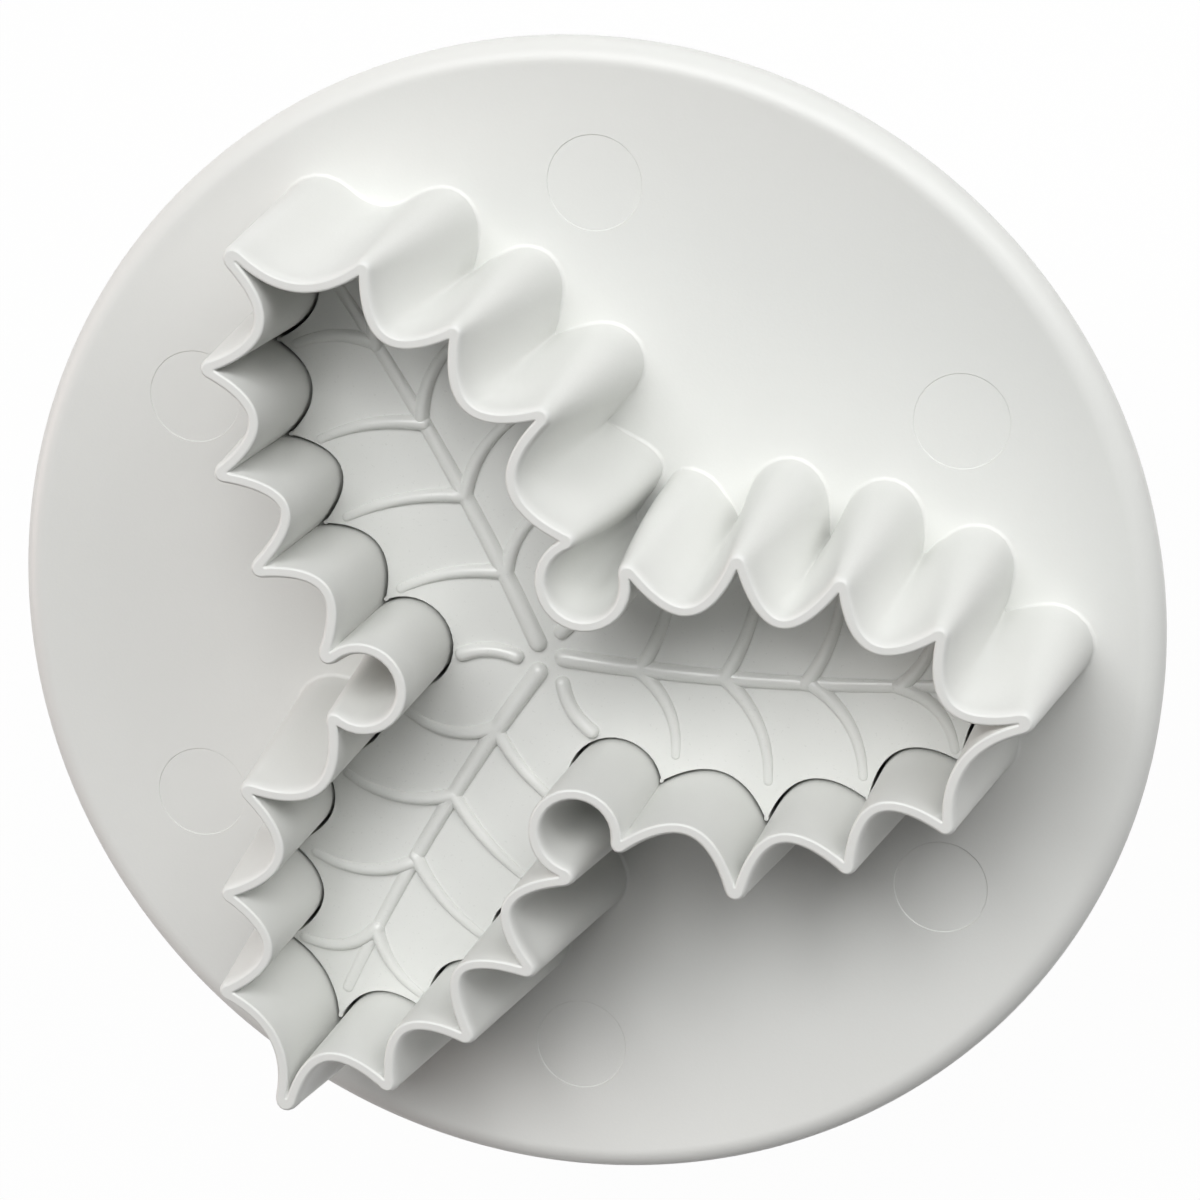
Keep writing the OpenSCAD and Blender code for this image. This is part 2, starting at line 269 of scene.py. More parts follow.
# a profile of (r, z, fillet) corners, with each fillet drawn as an arc
def rounded(profile, steps=6):
    line = []
    for i, (r, z, fillet) in enumerate(profile):
        here = np.array((r, z))
        if not fillet or i in (0, len(profile) - 1):
            line.append(here)
            continue
        a = np.array(profile[i - 1][:2]) - here
        b = np.array(profile[i + 1][:2]) - here
        a, b = a / np.linalg.norm(a), b / np.linalg.norm(b)
        half = np.arccos(np.clip(a @ b, -1, 1)) / 2
        middle = here + (a + b) / np.linalg.norm(a + b) * fillet / sin(half)
        start, end = here + a * fillet / tan(half) - middle, here + b * fillet / tan(half) - middle
        sweep = (atan2(end[1], end[0]) - atan2(start[1], start[0]) + pi) % (2 * pi) - pi
        for k in range(steps + 1):
            t = sweep * k / steps
            swung = (start[0] * cos(t) - start[1] * sin(t), start[0] * sin(t) + start[1] * cos(t))
            line.append(middle + swung)
    return line


# rings round the axis along a profile; an end on the axis closes with a fan
def turned(skin, profile, steps=192):
    loops = [addLoop(skin, circle(r, steps), z) for r, z in profile if r > samePoint]
    bridge(skin, loops)
    for end, loop, flip in ((profile[0], loops[0], True), (profile[-1], loops[-1], False)):
        if end[0] > samePoint:
            continue
        pole = addLoop(skin, [(0, 0)], end[1])[0]
        for a, b in zip(loop, loop[1:] + loop[:1]):
            skin["faces"].append((b, a, pole) if flip else (a, b, pole))
    return loops


# a mesh in millimetres, linked so that other forms can be joined to it
def makeForm(name, skin):
    mesh = bpy.data.meshes.new(name)
    mesh.from_pydata([tuple(map(float, p)) for p in skin["points"]], [], skin["faces"])
    form = bpy.data.objects.new(name, mesh)
    bpy.context.scene.collection.objects.link(form)
    return form


# metres, smooth shading and a material; the piece stands for one CAD node and rides on its body
def finishPiece(piece, body, node, material, sharp=None):
    mesh = piece.data
    mesh.transform(Matrix.Scale(mm, 4))
    mesh.shade_smooth()
    if sharp:
        mesh.set_sharp_from_angle(angle=radians(sharp))
    level = 0.9999
    for face in mesh.polygons:  # what lies level stays flat
        face.use_smooth = abs(face.normal.z) < level
    mesh.materials.clear()
    mesh.materials.append(material)
    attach(piece, body)
    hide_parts(node)
    print("made", piece.name, len(mesh.polygons), "faces")
    return piece


# sRGB hex to the linear colour that shaders use
def linear(hexColour):
    parts = [int(hexColour[i:i + 2], 16) / 255 for i in (1, 3, 5)]
    return tuple(c / 12.92 if c <= 0.04045 else ((c + 0.055) / 1.055) ** 2.4 for c in parts) + (1,)


# a node with its settings, where a key is an input or a property, and its links
def addNode(tree, kind, settings=None, links=None):
    node = tree.nodes.new(kind)
    for key, value in (settings or {}).items():
        if isinstance(key, int) or key in node.inputs:
            node.inputs[key].default_value = value
        else:
            setattr(node, key, value)
    for key, source in (links or {}).items():
        tree.links.new(source, node.inputs[key])
    return node


def newMaterial(name):
    material = bpy.data.materials.new(name)
    material.use_nodes = True
    material.node_tree.nodes.clear()
    return material, material.node_tree


# a texture's scale from the size of its pattern in millimetres
def scaleFor(size):
    return 1 / (size * mm)


# white injection-moulded polystyrene: satin, opaque, with a fine spark-eroded grain off the mould
def mouldedStyrene(name, look):
    material, tree = newMaterial(name)
    place = {"Vector": addNode(tree, "ShaderNodeTexCoord").outputs["Object"]}
    # slow, faint change of shade where the melt flowed and cooled
    flow = addNode(tree, "ShaderNodeTexNoise", {"Scale": scaleFor(look["flow"]), "Detail": 2.0}, place)
    shade = addNode(tree, "ShaderNodeMix",
                    {"data_type": "RGBA", 6: linear(look["colour"]), 7: linear(look["deep"])},
                    {0: flow.outputs["Fac"]})
    # a few tiny dark specks of burnt pellet, about one to each patch
    patch = addNode(tree, "ShaderNodeTexVoronoi", {"Scale": scaleFor(look["speckGap"])}, place)
    near = addNode(tree, "ShaderNodeMath",
                   {"operation": "LESS_THAN", 1: look["speck"] / look["speckGap"]},
                   {0: patch.outputs["Distance"]})
    chance = addNode(tree, "ShaderNodeSeparateColor", links={"Color": patch.outputs["Color"]})
    rare = addNode(tree, "ShaderNodeMath",
                   {"operation": "LESS_THAN", 1: look["speckShare"]},
                   {0: chance.outputs["Red"]})
    mask = addNode(tree, "ShaderNodeMath",
                   {"operation": "MULTIPLY"},
                   {0: near.outputs[0], 1: rare.outputs[0]})
    colour = addNode(tree, "ShaderNodeMix",
                     {"data_type": "RGBA", 7: linear(look["speckColour"])},
                     {0: mask.outputs[0], 6: shade.outputs[2]})
    # real grain is about 0.05 mm, drawn coarser so that it shows
    grain = addNode(tree, "ShaderNodeTexNoise",
                    {"Scale": scaleFor(look["grain"]), "Detail": 3.0, "Roughness": 0.6}, place)
    wave = addNode(tree, "ShaderNodeTexNoise", {"Scale": scaleFor(look["wave"]), "Detail": 1.0}, place)
    waveBump = addNode(tree, "ShaderNodeBump",
                       {"Strength": 1.0, "Distance": look["waveDepth"] * mm},
                       {"Height": wave.outputs["Fac"]})
    bump = addNode(tree, "ShaderNodeBump",
                   {"Strength": 1.0, "Distance": look["grainDepth"] * mm},
                   {"Height": grain.outputs["Fac"], "Normal": waveBump.outputs["Normal"]})
    rough = addNode(tree, "ShaderNodeMapRange",
                    {"To Min": look["rough"][0], "To Max": look["rough"][1]},
                    {"Value": grain.outputs["Fac"]})
    shader = addNode(tree, "ShaderNodeBsdfPrincipled", {"IOR": look["ior"]}, {
        "Base Color": colour.outputs[2],
        "Roughness": rough.outputs[0],
        "Normal": bump.outputs["Normal"],
    })
    addNode(tree, "ShaderNodeOutputMaterial", links={"Surface": shader.outputs[0]})
    return material


# hard-drawn spring wire: bright grey metal with fine die marks along it
def drawnSteel(name, look):
    material, tree = newMaterial(name)
    place = {"Vector": addNode(tree, "ShaderNodeTexCoord").outputs["Object"]}
    tint = addNode(tree, "ShaderNodeTexNoise", {"Scale": scaleFor(look["patch"]), "Detail": 2.0}, place)
    colour = addNode(tree, "ShaderNodeMix",
                     {"data_type": "RGBA", 6: linear(look["colour"]), 7: linear(look["deep"])},
                     {0: tint.outputs["Fac"]})
    flat = addNode(tree, "ShaderNodeMapping", {"Scale": (1, 1, look["stretch"])}, place)
    marks = addNode(tree, "ShaderNodeTexNoise",
                    {"Scale": scaleFor(look["marks"]), "Detail": 2.0},
                    {"Vector": flat.outputs[0]})
    bump = addNode(tree, "ShaderNodeBump",
                   {"Strength": 0.5, "Distance": look["markDepth"] * mm},
                   {"Height": marks.outputs["Fac"]})
    rough = addNode(tree, "ShaderNodeMapRange",
                    {"To Min": look["rough"][0], "To Max": look["rough"][1]},
                    {"Value": marks.outputs["Fac"]})
    shader = addNode(tree, "ShaderNodeBsdfPrincipled", {"Metallic": 1.0}, {
        "Base Color": colour.outputs[2],
        "Roughness": rough.outputs[0],
        "Normal": bump.outputs["Normal"],
    })
    addNode(tree, "ShaderNodeOutputMaterial", links={"Surface": shader.outputs[0]})
    return material


styreneLook = {
    "colour": "#e3e4e1",
    "deep": "#dfe0dd",
    "ior": 1.59,
    "rough": (0.36, 0.5),
    "flow": 14,  # size of the changes of shade
    "grain": 0.16,
    "grainDepth": 0.006,
    "wave": 7,  # the faces are a little uneven over this distance
    "waveDepth": 0.02,
    "speckGap": 7,
    "speck": 0.11,
    "speckShare": 0.22,  # of the patches that have a speck
    "speckColour": "#77736c",
}
plateLook = {**styreneLook, "rough": (0.24, 0.34), "grainDepth": 0.002}  # off a polished mould
stemLook = {**styreneLook, "rough": (0.22, 0.32), "grainDepth": 0.001}
wireLook = {
    "colour": "#b9babd",
    "deep": "#a3a4a8",
    "rough": (0.22, 0.38),
    "patch": 4,
    "marks": 0.25,
    "markDepth": 0.004,
    "stretch": 6,  # the marks are this much flatter than they are long
}
bodyStyrene = mouldedStyrene("whiteStyreneBody", styreneLook)
plateStyrene = mouldedStyrene("whiteStyrenePlate", plateLook)
stemStyrene = mouldedStyrene("whiteStyreneStem", stemLook)
knobStyrene = mouldedStyrene("whiteStyreneKnob", styreneLook)
springWire = drawnSteel("drawnSpringWire", wireLook)
print("materials made")

# the body: a turned flange and barrel, and the cutting wall that grows out of the flange
body = {
    "flangeZ": 39,  # the flat of the flange, where the wall stands
    "crestRise": 0.6,  # how far the rim's crest stands above it
    "shoulder": 1.2,  # radius of the rolled rim
    "dishStart": 19,  # the flange dishes up from here to the crest
    "backZ": 37,
    "backEdge": 0.5,  # radius of the rim's back corner
    "rimDraft": 0.05,  # how much narrower the rim is there
    "rimSteps": 10,
    "rimRings": (0.15, 0.4, 0.8),  # more rings, this far inside the crest
    "sides": 288,
    "barrelR": 9,
    "barrelFillet": 2.5,
    "barrelDraft": 0.1,  # how much narrower the barrel is at its mouth
    "mouthOuter": 0.5,
    "mouthInner": 0.4,
    "pocketR": 6.4,
    "pocketZ": 33.6,
    "pocketCorner": 0.3,
    "guideR": 3.55,
    "guideEdge": 0.2,
    "edgeT": 0.7,  # wall thickness at the cutting edge
    "edgeOuter": 0.27,  # its outer corner is eased over this width
    "edgeDrop": 0.9,  # and this height
    "edgeInner": 0.12,  # radius of its inner corner
    "rootT": 2.1,  # wall thickness at its root
    "rootFillet": 0.22,
    "spike": 0.2,  # the wall is this much thicker at a spine
    "narrowest": 0.35,  # radius left in a flute at the root
    "outerLevels": 14,
    "innerLevels": 8,
    "roundSteps": 8,
    "innerSteps": 3,
    "markR": 2.5,
    "markDepth": 0.05,
    "markEdge": 0.04,
    "markSides": 64,
    "markRings": (0.7, 0.35),  # shares of its radius at which a mark has more points
    "markPoints": 20,  # on each of these
    "markDistance": 23.7,
    "markAngles": (29.2, 85.3),
    "spacing": 0.9,  # of the points over the open flange
}
flangeR = bodyHigh.x
edgeZ = bodyHigh.z
crestR = flangeR - body["shoulder"]


# height of the flange's upper face
def dishZ(r):
    t = np.clip((np.asarray(r) - body["dishStart"]) / (crestR - body["dishStart"]), 0, 1)
    return body["flangeZ"] + body["crestRise"] * t**2.2


def dishAt(xy):
    return dishZ(np.hypot(np.asarray(xy)[:, 0], np.asarray(xy)[:, 1]))


# the cutting wall's loops, from its foot up the outside, over the edge and down the inside
def addWall(skin):
    rail = stations(0, narrowest=body["narrowest"])
    fillet, spike, steps = body["rootFillet"], body["spike"], body["roundSteps"]
    rootT, edgeT = body["rootT"], body["edgeT"]
    rootZ = dishAt(movedOut(rail, rootT, spike)) + fillet
    topZ = edgeZ - body["edgeDrop"]
    loops = []
    for k in range(steps):  # fillet from the flange up to the root
        a = pi / 2 * (1 - k / steps)
        xy = movedOut(rail, rootT + fillet * (1 - cos(a)), spike)
        loops.append(addLoop(skin, xy, dishAt(xy) + fillet * (1 - sin(a))))
    for k in range(body["outerLevels"] + 1):
        t = k / body["outerLevels"]
        xy = movedOut(rail, rootT + (edgeT - rootT) * t, spike)
        loops.append(addLoop(skin, xy, rootZ + (topZ - rootZ) * t))
    for k in range(1, steps + 1):  # the eased outer corner
        a = pi / 2 * k / steps
        xy = movedOut(rail, edgeT - body["edgeOuter"] * (1 - cos(a)), spike)
        loops.append(addLoop(skin, xy, topZ + body["edgeDrop"] * sin(a)))
    innerR = body["edgeInner"]
    innerZ = edgeZ - innerR
    for k in range(body["innerSteps"]):
        a = pi / 2 * (1 - k / body["innerSteps"])
        loops.append(addLoop(skin, movedOut(rail, innerR * (1 - cos(a))), innerZ + innerR * sin(a)))
    for k in range(body["innerLevels"] + 1):
        z = innerZ + (body["flangeZ"] - innerZ) * k / body["innerLevels"]
        loops.append(addLoop(skin, stations(0, edgeZ - z)[0], z))
    bridge(skin, loops)
    return loops[0], loops[-1]


# the middles of the shallow round marks where the mould's pins pushed the flange out
def markMiddles():
    turns = [360 / leaf["count"] * k for k in range(leaf["count"])]
    return [polar(body["markDistance"], angle + turn) for turn in turns for angle in body["markAngles"]]


def addMarks(skin):
    creases, loose = [], []
    for middle in markMiddles():
        for inset, drop in ((0, 0), (body["markEdge"], 1)):
            xy = circle(body["markR"] - inset, body["markSides"], middle)
            creases.append(addLoop(skin, xy, dishAt(xy) - body["markDepth"] * drop))
        for share in body["markRings"]:
            xy = circle(body["markR"] * share, body["markPoints"], middle)
            loose += addLoop(skin, xy, dishAt(xy) - body["markDepth"])
    return creases, loose


# points spread evenly on rings, each ring half a step round from the last
def ringPoints(outerR, spacing):
    xy = []
    firstRing, fewest = 0.6, 6  # how far in the first ring lies, and the points on the smallest
    for ring in range(int(outerR / spacing)):
        r = outerR - spacing * (ring + firstRing)
        n = max(fewest, int(2 * pi * r / spacing))
        xy += [polar(r, 360 * (k + ring % 2 / 2) / n) for k in range(n)]
    return np.array(xy)


# points over the open flange, so that its dish shades smoothly
def addDishPoints(skin, foot, outerR):
    fromFoot, fromMark = body["spacing"] * 0.5, body["spacing"] * 0.4
    xy = ringPoints(outerR, body["spacing"])
    footXy = np.array([skin["points"][i][:2] for i in foot])
    clear = ~insideLoops(xy, [footXy]) & (distanceTo(footXy[::3], xy) > fromFoot)  # every third will do
    for middle in markMiddles():
        clear &= np.linalg.norm(xy - middle, axis=1) > body["markR"] + fromMark
    return addLoop(skin, xy[clear], dishAt(xy[clear]))


def makeBody():
    skin = newSkin()
    guideR, pocketR, barrelR = body["guideR"], body["pocketR"], body["barrelR"]
    shoulderLow = float(dishZ(crestR)) - body["shoulder"]
    outside = rounded([
        (guideR, body["flangeZ"], 0),
        (guideR, body["pocketZ"], body["guideEdge"]),
        (pocketR, body["pocketZ"], body["pocketCorner"]),
        (pocketR, bodyLow.z, body["mouthInner"]),
        (barrelR - body["barrelDraft"], bodyLow.z, body["mouthOuter"]),
        (barrelR, body["backZ"], body["barrelFillet"]),
        (flangeR - body["rimDraft"], body["backZ"], body["backEdge"]),
        (flangeR, shoulderLow, 0),
    ])
    steps = body["rimSteps"]
    rim = [polar(body["shoulder"], 90 * k / steps) + (crestR, shoulderLow) for k in range(1, steps + 1)]
    dish = [(crestR - step, float(dishZ(crestR - step))) for step in body["rimRings"]]
    loops = turned(skin, outside + rim + dish, body["sides"])
    foot, floor = addWall(skin)
    creases, loose = addMarks(skin)
    loose += addDishPoints(skin, foot, dish[-1][0])
    fill(skin, [loops[-1], foot], creases, loose)
    fill(skin, [floor, loops[0]])
    piece = makeForm("cutterBody", skin)
    return finishPiece(piece, "cutter", "cutter_body", bodyStyrene, sharp=45)


makeBody()

# the embossing plate: a cap that fills the wall, with raised veins on its face
plate = {
    "gap": 0.17,  # to the cutting wall
    "thick": 1.6,
    "skirt": 1.2,
    "edgeRound": 0.05,
    "edgeSteps": 4,
    "edgeRing": 0.2,  # one more loop, this far below the rounded edge
    "edgeInside": 0.02,  # and one this far inside it
    "bottomEdge": 0.1,
    "cornerRound": 0.12,
    "spike": 0.2,  # its corners reach further into the wall's
    "spacing": 0.8,  # of the points over the face
    "clear": 0.35,  # between them and its edge
    "bossR": 5,
    "bossFit": 0.02,  # round the stem
    "bossSink": 0.3,  # how far the boss reaches into the plate
    "bossSides": 96,
    "veinHeight": 0.5,
    "veinSink": 0.3,  # how far a vein reaches into the plate
    "veinSteps": 10,  # across its round top
    "midribWidth": 1.0,
    "veinWidth": 0.8,
    "sideHeight": 0.92,  # share of a midrib's height that the other veins have
    "thinEnd": 0.6,  # share of its width that a vein keeps
    "lowEnd": 0.22,  # share of its height that it keeps
    "lowering": 1.5,  # above 1 it loses height late
    "endAngles": (25, 50, 75),  # degrees round a vein's end at which it has a section
    "midribStart": 0.9,
    "midribLength": 21.3,
    "midribSteps": 32,
    "midribDrift": 0.7,
    "midribBow": 0.5,
    "leftRoots": (4.9, 9.3, 13.5, 18.3),
    "leftEnds": ((8.4, 36.3), (12.6, 25.6), (16.1, 15.9), (20.5, 7.9)),
    "leftBow": 0.4,
    "rightRoots": (4.7, 9.3, 13.8, 18.2),
    "rightEnds": ((8.3, 37.1), (13, 28.5), (17.3, 19.3), (21.4, 11)),
    "rightBow": 0.7,
    "shortRidge": (1.6, 4.5),
    "shortBow": 0.3,
}
faceZ = plateHigh.z - plate["veinHeight"]


# points from start to end on a line that bows to the left by bow
def bowed(start, end, bow, steps=16):
    start, end = np.array(start, float), np.array(end, float)
    v = end - start
    side = np.array((-v[1], v[0])) / np.linalg.norm(v)
    return [start + v * t + side * bow * 4 * t * (1 - t) for t in np.linspace(0, 1, steps + 1)]


def midribAt(x):
    t = (x - plate["midribStart"]) / plate["midribLength"]
    return x, -plate["midribDrift"] * t - plate["midribBow"] * 4 * t * (1 - t)


# half-round sections along the line, with both ends rounded off
def ridgeSections(line, width, height, thinEnd, lowEnd):
    line = np.array(line)
    n = len(line)
    ahead = np.gradient(line, axis=0)
    ahead /= np.linalg.norm(ahead, axis=1)[:, None]
    sections = []
    for i in range(n):
        t = i / (n - 1)
        w = width / 2 * (1 - (1 - thinEnd) * t)
        h = height * (1 - (1 - lowEnd) * t ** plate["lowering"])
        sections.append((line[i], ahead[i], w, h))
    ends = []
    for at, sign in ((0, -1), (-1, 1)):
        p, d, w, h = sections[at]
        angles = np.radians(plate["endAngles"])
        ends.append([(p + d * sign * w * sin(a), d, w * cos(a), h * cos(a)) for a in angles])
    return ends[0][::-1] + sections + ends[1]


# a closed ridge on the plate's face, turned to its leaf
def addRidge(name, line, width, height, turn, thinEnd=plate["thinEnd"], lowEnd=plate["lowEnd"]):
    spin = np.array(Matrix.Rotation(radians(turn), 2))
    steps, sink = plate["veinSteps"], plate["veinSink"]
    skin = newSkin()
    sections = ridgeSections(line, width, height, thinEnd, lowEnd)
    for p, d, w, h in sections:
        side = np.array((-d[1], d[0]))
        ring = [(p + side * w * cos(pi * k / steps), h * sin(pi * k / steps)) for k in range(steps + 1)]
        ring += [(p - side * w, -sink), (p + side * w, -sink)]
        skin["points"] += [(*(spin @ xy), faceZ + z) for xy, z in ring]
    count = steps + 3
    loops = [list(range(i * count, i * count + count)) for i in range(len(sections))]
    bridge(skin, loops)
    skin["faces"] += [tuple(loops[0][::-1]), tuple(loops[-1])]
    return makeForm(name, skin)


# all the ridges of the three leaves, as separate closed forms
def addVeins():
    wide, high = plate["veinWidth"], plate["veinHeight"]
    low = high * plate["sideHeight"]
    start, end = plate["midribStart"], plate["midribStart"] + plate["midribLength"]
    shortStart, shortEnd = plate["shortRidge"]
    ridges = []
    for k in range(leaf["count"]):
        turn = 360 / leaf["count"] * k
        midrib = [midribAt(x) for x in np.linspace(start, end, plate["midribSteps"] + 1)]
        ridges.append(addRidge("midrib", midrib, plate["midribWidth"], high, turn))
        for side, sign in (("left", 1), ("right", -1)):
            bow = -sign * plate[side + "Bow"]
            for root, (r, a) in zip(plate[side + "Roots"], plate[side + "Ends"]):
                vein = bowed(midribAt(root), polar(r, sign * a), bow)
                ridges.append(addRidge("vein", vein, wide, low, turn))
        short = bowed((shortStart, 0), (shortEnd, 0), -plate["shortBow"])
        ridges.append(addRidge("shortRidge", short, wide, low, turn + 180 / leaf["count"], 1, 1))
    return ridges


# only triangles, which a Boolean joins cleanly
def triangulate(mesh):
    form = bmesh.new()
    form.from_mesh(mesh)
    bmesh.ops.triangulate(form, faces=form.faces)
    form.to_mesh(mesh)
    form.free()


# boolean union of the piece and each form in turn
def joinForms(piece, forms):
    triangulate(piece.data)
    for form in forms:
        triangulate(form.data)
        union = piece.modifiers.new("join", "BOOLEAN")
        union.operation = "UNION"
        union.solver = "MANIFOLD"
        union.object = form
        shape = piece.evaluated_get(bpy.context.evaluated_depsgraph_get())
        mesh = bpy.data.meshes.new_from_object(shape)
        triangulate(mesh)
        piece.modifiers.clear()
        piece.data = mesh
        bpy.data.objects.remove(form)


# the ring under the plate that holds the stem
def addBoss():
    skin = newSkin()
    holeR, low = stemHigh.x + plate["bossFit"], plateLow.z
    high = faceZ - plate["thick"] + plate["bossSink"]
    profile = ((holeR, high), (holeR, low), (plate["bossR"], low), (plate["bossR"], high))
    loops = [addLoop(skin, circle(r, plate["bossSides"]), z) for r, z in profile]
    bridge(skin, loops + loops[:1])
    return makeForm("boss", skin)


def makePlate():
    skin = newSkin()
    side, bottom, edge = plate["cornerRound"], plate["bottomEdge"], plate["edgeRound"]
    rail = stations(plate["gap"] + side, edgeZ - faceZ)
    levels = [(side - bottom, plateLow.z), (side, plateLow.z + bottom)]
    levels.append((side, faceZ - edge - plate["edgeRing"]))
    for k in range(plate["edgeSteps"] + 1):
        a = pi / 2 * k / plate["edgeSteps"]
        levels.append((side - edge * (1 - cos(a)), faceZ - edge * (1 - sin(a))))
    levels.append((side - edge - plate["edgeInside"], faceZ))
    loops = [addLoop(skin, movedOut(rail, out, plate["spike"]), z) for out, z in levels]
    hollow = drawnIn(plate["gap"] + plate["skirt"])
    inside = [addLoop(skin, hollow, z) for z in (faceZ - plate["thick"], plateLow.z)]
    bridge(skin, loops)
    bridge(skin, inside)
    outline = movedOut(rail, side)
    spread = ringPoints(leaf["tip"], plate["spacing"])  # small triangles keep the joined face clean
    clear = insideLoops(spread, [outline]) & (distanceTo(outline, spread) > plate["clear"])
    fill(skin, [loops[-1]], loose=addLoop(skin, spread[clear], faceZ))
    fill(skin, [loops[0], inside[-1]], up=False)
    fill(skin, [inside[0]], up=False)
    piece = makeForm("embossingPlate", skin)
    joinForms(piece, [addBoss(), *addVeins()])
    return finishPiece(piece, "plunger", "embossing_plate", plateStyrene, sharp=40)


makePlate()

# the stem and the knob are turned forms
stem = {
    "edge": 0.4,
    "drop": 0.02,  # clear of the plate and of the knob
    "coreR": 1.8,  # moulded hollow
    "coreStop": 9,  # length of the solid end above it
    "coreRound": 0.5,
    "coreMouth": 0.2,
    "sides": 96,
}


def makeStem():
    skin = newSkin()
    r, coreR = stemHigh.x, stem["coreR"]
    low, high = stemLow.z + stem["drop"], stemHigh.z - stem["drop"]
    coreTop = stemHigh.z - stem["coreStop"]
    turned(skin, rounded([
        (0, coreTop, 0),
        (coreR, coreTop, stem["coreRound"]),
        (coreR, low, stem["coreMouth"]),
        (r, low, stem["edge"]),
        (r, high, stem["edge"]),
        (0, high, 0),
    ]), stem["sides"])
    piece = makeForm("plungerStem", skin)
    return finishPiece(piece, "plunger", "plunger_stem", stemStyrene)


makeStem()

knob = {
    "web": 3,
    "webCorner": 0.8,
    "wall": 1.6,
    "innerDraft": 0.1,  # how much thicker the wall is at the web
    "outerDraft": 0.05,  # slope of the knob's side and of the socket's
    "edge": 1.8,
    "lip": 0.6,
    "socketR": 4.4,
    "socketFoot": 0.3,
    "socketLip": 0.25,
    "boreLip": 0.2,
    "boreFit": 0.01,  # round the stem
    "dishR": 8.5,  # shallow hollow for the thumb in the end face
    "dishSlope": 2.5,
    "dishRound": 6,
    "dishEdge": 1.5,
    "dishDepth": 0.35,
    "gateR": 0.7,  # mark of the mould's gate, proud of the hollow
    "gateRise": 0.15,
    "gateDraft": 0.1,
    "gateEdge": 0.08,
    "gateFoot": 0.05,
    "roundSteps": 8,
    "sides": 192,
}


def makeKnob():
    skin = newSkin()
    r, top, web = knobHigh.x, knobHigh.z, knob["web"]
    deep = knobLow.z + knob["dishDepth"]
    gateR, gateZ = knob["gateR"], deep - knob["gateRise"]
    innerR = r - knob["wall"]
    socketR, boreR = knob["socketR"], stemHigh.x + knob["boreFit"]
    turned(skin, rounded([
        (0, gateZ, 0),
        (gateR, gateZ, knob["gateEdge"]),
        (gateR + knob["gateDraft"], deep, knob["gateFoot"]),
        (knob["dishR"] - knob["dishSlope"], deep, knob["dishRound"]),
        (knob["dishR"], knobLow.z, knob["dishEdge"]),
        (r - knob["outerDraft"], knobLow.z, knob["edge"]),
        (r, top, knob["lip"]),
        (innerR, top, knob["lip"]),
        (innerR - knob["innerDraft"], web, knob["webCorner"]),
        (socketR + knob["outerDraft"], web, knob["socketFoot"]),
        (socketR, top, knob["socketLip"]),
        (boreR, top, knob["boreLip"]),
        (boreR, web, 0),
        (0, web, 0),
    ], knob["roundSteps"]), knob["sides"])
    piece = makeForm("plungerKnob", skin)
    return finishPiece(piece, "plunger", "plunger_knob", knobStyrene)


makeKnob()

# the return spring: one helix of round wire with a closer turn at each end
spring = {
    "wire": 0.9,
    "turns": 12,
    "endPitch": 1.4,
    "endShrink": 0.86,  # the cut ends are a little thinner
    "perTurn": 36,
    "sides": 14,
}


def makeSpring():
    skin = newSkin()
    wireR = spring["wire"] / 2
    coilR = springHigh.x - wireR
    seatZ, pocketZ = knob["web"], body["pocketZ"]
    low, high = seatZ + wireR, pocketZ - wireR
    turns, endPitch = spring["turns"], spring["endPitch"]
    pitch = (high - low - 2 * endPitch) / (turns - 2)

    def centre(t):
        closer = min(t, 1) + max(0, t - turns + 1)  # turns of the two ends so far
        wider = max(0, min(t, turns - 1) - 1)
        return np.array((*polar(coilR, 360 * t), low + endPitch * closer + pitch * wider))

    loops = []
    near = 0.01  # turns to either side, for the wire's direction
    count = turns * spring["perTurn"]
    for i in range(count + 1):
        t = i / spring["perTurn"]
        ahead = centre(t + near) - centre(t - near)
        ahead /= np.linalg.norm(ahead)
        out = np.array((*polar(1, 360 * t), 0))
        upward = np.cross(out, ahead)
        upward *= np.sign(upward[2])
        thick = wireR * (spring["endShrink"] if i in (0, count) else 1)
        ring = [centre(t) + thick * (out * cos(a) - upward * sin(a))
                for a in np.linspace(0, 2 * pi, spring["sides"], endpoint=False)]
        first = len(skin["points"])
        skin["points"] += [tuple(p) for p in ring]
        loops.append(list(range(first, first + spring["sides"])))
    bridge(skin, loops)
    skin["faces"] += [tuple(loops[0][::-1]), tuple(loops[-1])]
    piece = makeForm("returnSpring", skin)
    finishPiece(piece, "cutter", "return_spring", springWire)
    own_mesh(piece)
    return piece


makeSpring()

# stage: a white floor that keeps a faint shadow, soft lamps and the camera
stage = {
    "floorSize": 1500,
    "floorDrop": 0.02,  # below the knob
    "whiteShare": 0.97,  # how much of the floor is plain white to the camera
    "floorColour": "#f4f4f2",
    "worldColour": "#ffffff",
    "worldStrength": 0.02,
    "lampAim": (0, 0, 42),
    "lampDistance": 900,
    "lampSize": 468,
}
lamps = {  # where the light comes from, in degrees round from +X and up, then watts and colour
    "windowRight": (42, 25, 1.85, "#ffffff"),
    "windowBack": (60, 43, 1.7, "#ffffff"),
    "softTop": (80, 56, 2.72, "#ffffff"),
    "softBack": (115, 56, 2.8, "#ffffff"),
    "leftFill": (180, 14, 1.63, "#ffeae5"),
    "lowFill": (240, 25, 0.25, "#ffeae5"),
}
camera = {
    "place": (42.31, 47.37, 203.40),
    "right": (0.9721, -0.0313, -0.2325),
    "back": (0.2325, 0.2611, 0.9369),
    "lens": 99.85,
    "clip": (0.01, 10),  # metres
}


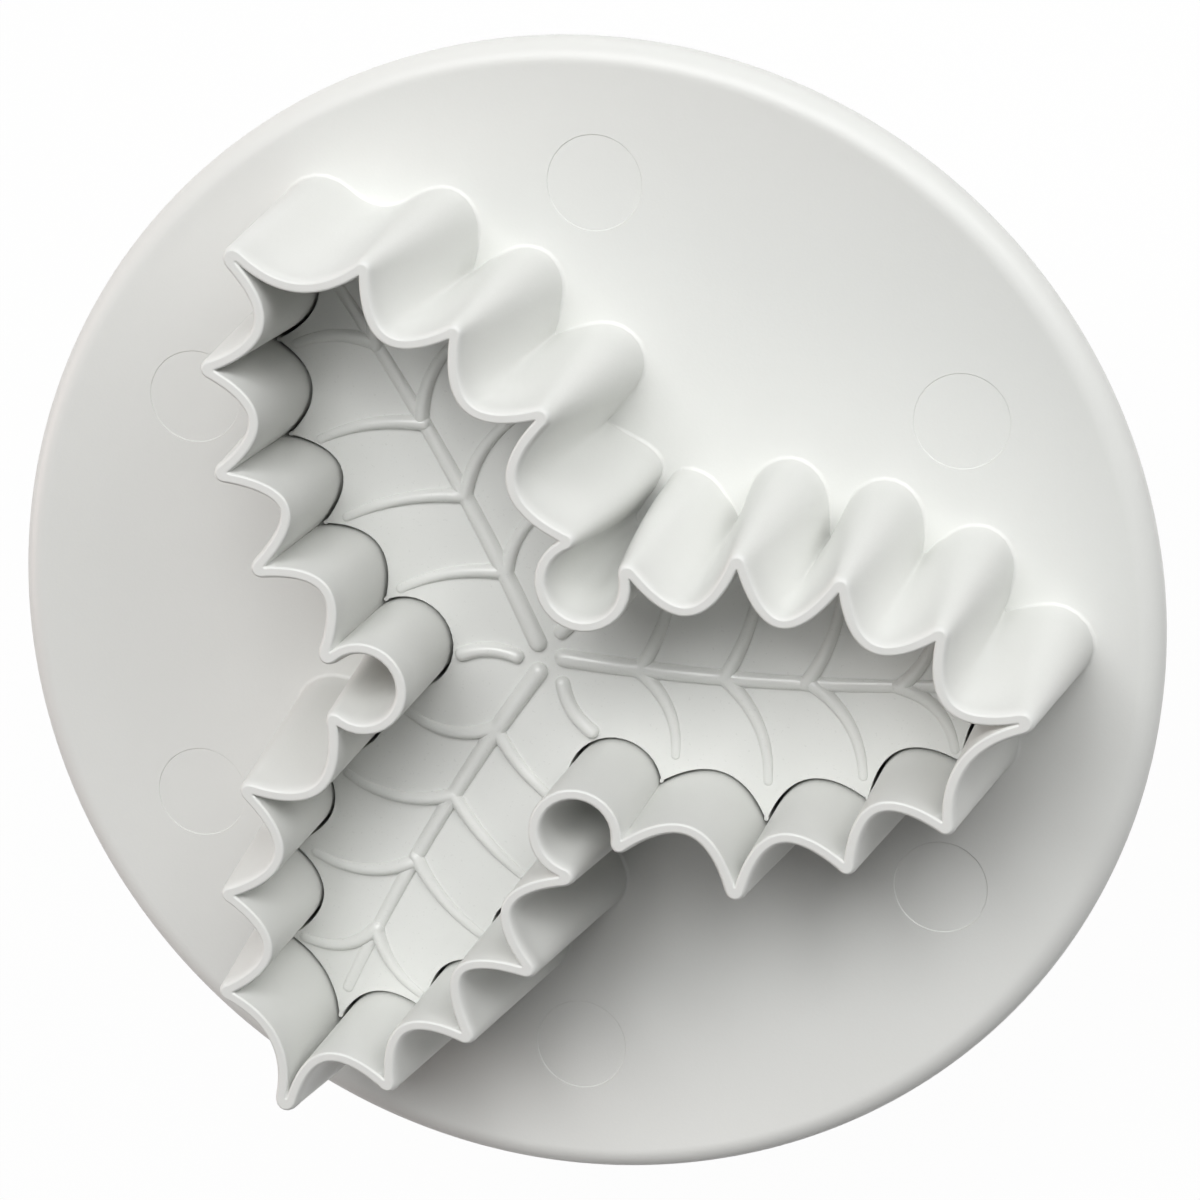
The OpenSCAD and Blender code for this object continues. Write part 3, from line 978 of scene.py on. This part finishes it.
# 1 for the rays that see the background: straight, mirrored or through glass
def whiteToCamera(tree):
    path = addNode(tree, "ShaderNodeLightPath")
    seen = path.outputs["Is Camera Ray"]
    for name in ("Is Glossy Ray", "Is Transmission Ray"):
        either = addNode(tree, "ShaderNodeMath", {"operation": "MAXIMUM"}, {0: seen, 1: path.outputs[name]})
        seen = either.outputs[0]
    return seen


def makeFloor():
    half, z = stage["floorSize"] * mm / 2, -stage["floorDrop"] * mm
    square = [(-half, -half, z), (half, -half, z), (half, half, z), (-half, half, z)]
    mesh = bpy.data.meshes.new("floor")
    mesh.from_pydata(square, [], [(0, 1, 2, 3)])
    floor = bpy.data.objects.new("floor", mesh)
    bpy.context.scene.collection.objects.link(floor)
    material, tree = newMaterial("whiteFloor")
    share = addNode(tree, "ShaderNodeMath",
                    {"operation": "MULTIPLY", 1: stage["whiteShare"]},
                    {0: whiteToCamera(tree)})
    paint = addNode(tree, "ShaderNodeBsdfDiffuse", {"Color": linear(stage["floorColour"])})
    glow = addNode(tree, "ShaderNodeEmission", {"Color": (1, 1, 1, 1), "Strength": 1.0})
    mix = addNode(tree, "ShaderNodeMixShader",
                  links={0: share.outputs[0], 1: paint.outputs[0], 2: glow.outputs[0]})
    addNode(tree, "ShaderNodeOutputMaterial", links={"Surface": mix.outputs[0]})
    mesh.materials.append(material)


def makeWorld():
    world = bpy.data.worlds.new("studio")
    bpy.context.scene.world = world
    world.use_nodes = True
    tree = world.node_tree
    tree.nodes.clear()
    soft = addNode(tree, "ShaderNodeBackground",
                   {"Color": linear(stage["worldColour"]), "Strength": stage["worldStrength"]})
    white = addNode(tree, "ShaderNodeBackground", {"Color": (1, 1, 1, 1), "Strength": 1.0})
    mix = addNode(tree, "ShaderNodeMixShader",
                  links={0: whiteToCamera(tree), 1: soft.outputs[0], 2: white.outputs[0]})
    addNode(tree, "ShaderNodeOutputWorld", links={"Surface": mix.outputs[0]})


def makeLamps():
    aim = Vector(stage["lampAim"]) * mm
    for name, (azimuth, height, watts, colour) in lamps.items():
        data = bpy.data.lights.new(name, "AREA")
        data.shape = "DISK"
        data.size = stage["lampSize"] * mm
        data.energy = watts
        data.color = linear(colour)[:3]
        lamp = bpy.data.objects.new(name, data)
        out = Vector((*polar(cos(radians(height)), azimuth), sin(radians(height))))
        lamp.location = aim + out * stage["lampDistance"] * mm
        lamp.rotation_euler = out.to_track_quat("Z", "Y").to_euler()
        bpy.context.scene.collection.objects.link(lamp)


def makeCamera():
    data = bpy.data.cameras.new("photoCamera")
    data.lens = camera["lens"]
    data.clip_start, data.clip_end = camera["clip"]
    view = bpy.data.objects.new("photoCamera", data)
    right, back = Vector(camera["right"]), Vector(camera["back"]).normalized()
    upward = back.cross(right).normalized()
    right = upward.cross(back)
    turn = Matrix((right, upward, back)).transposed().to_4x4()
    view.matrix_world = Matrix.Translation(Vector(camera["place"]) * mm) @ turn
    bpy.context.scene.collection.objects.link(view)
    bpy.context.scene.camera = view


makeFloor()
makeWorld()
makeLamps()
makeCamera()
bpy.context.scene.view_settings.view_transform = "Standard"
print("stage, lamps and camera set")
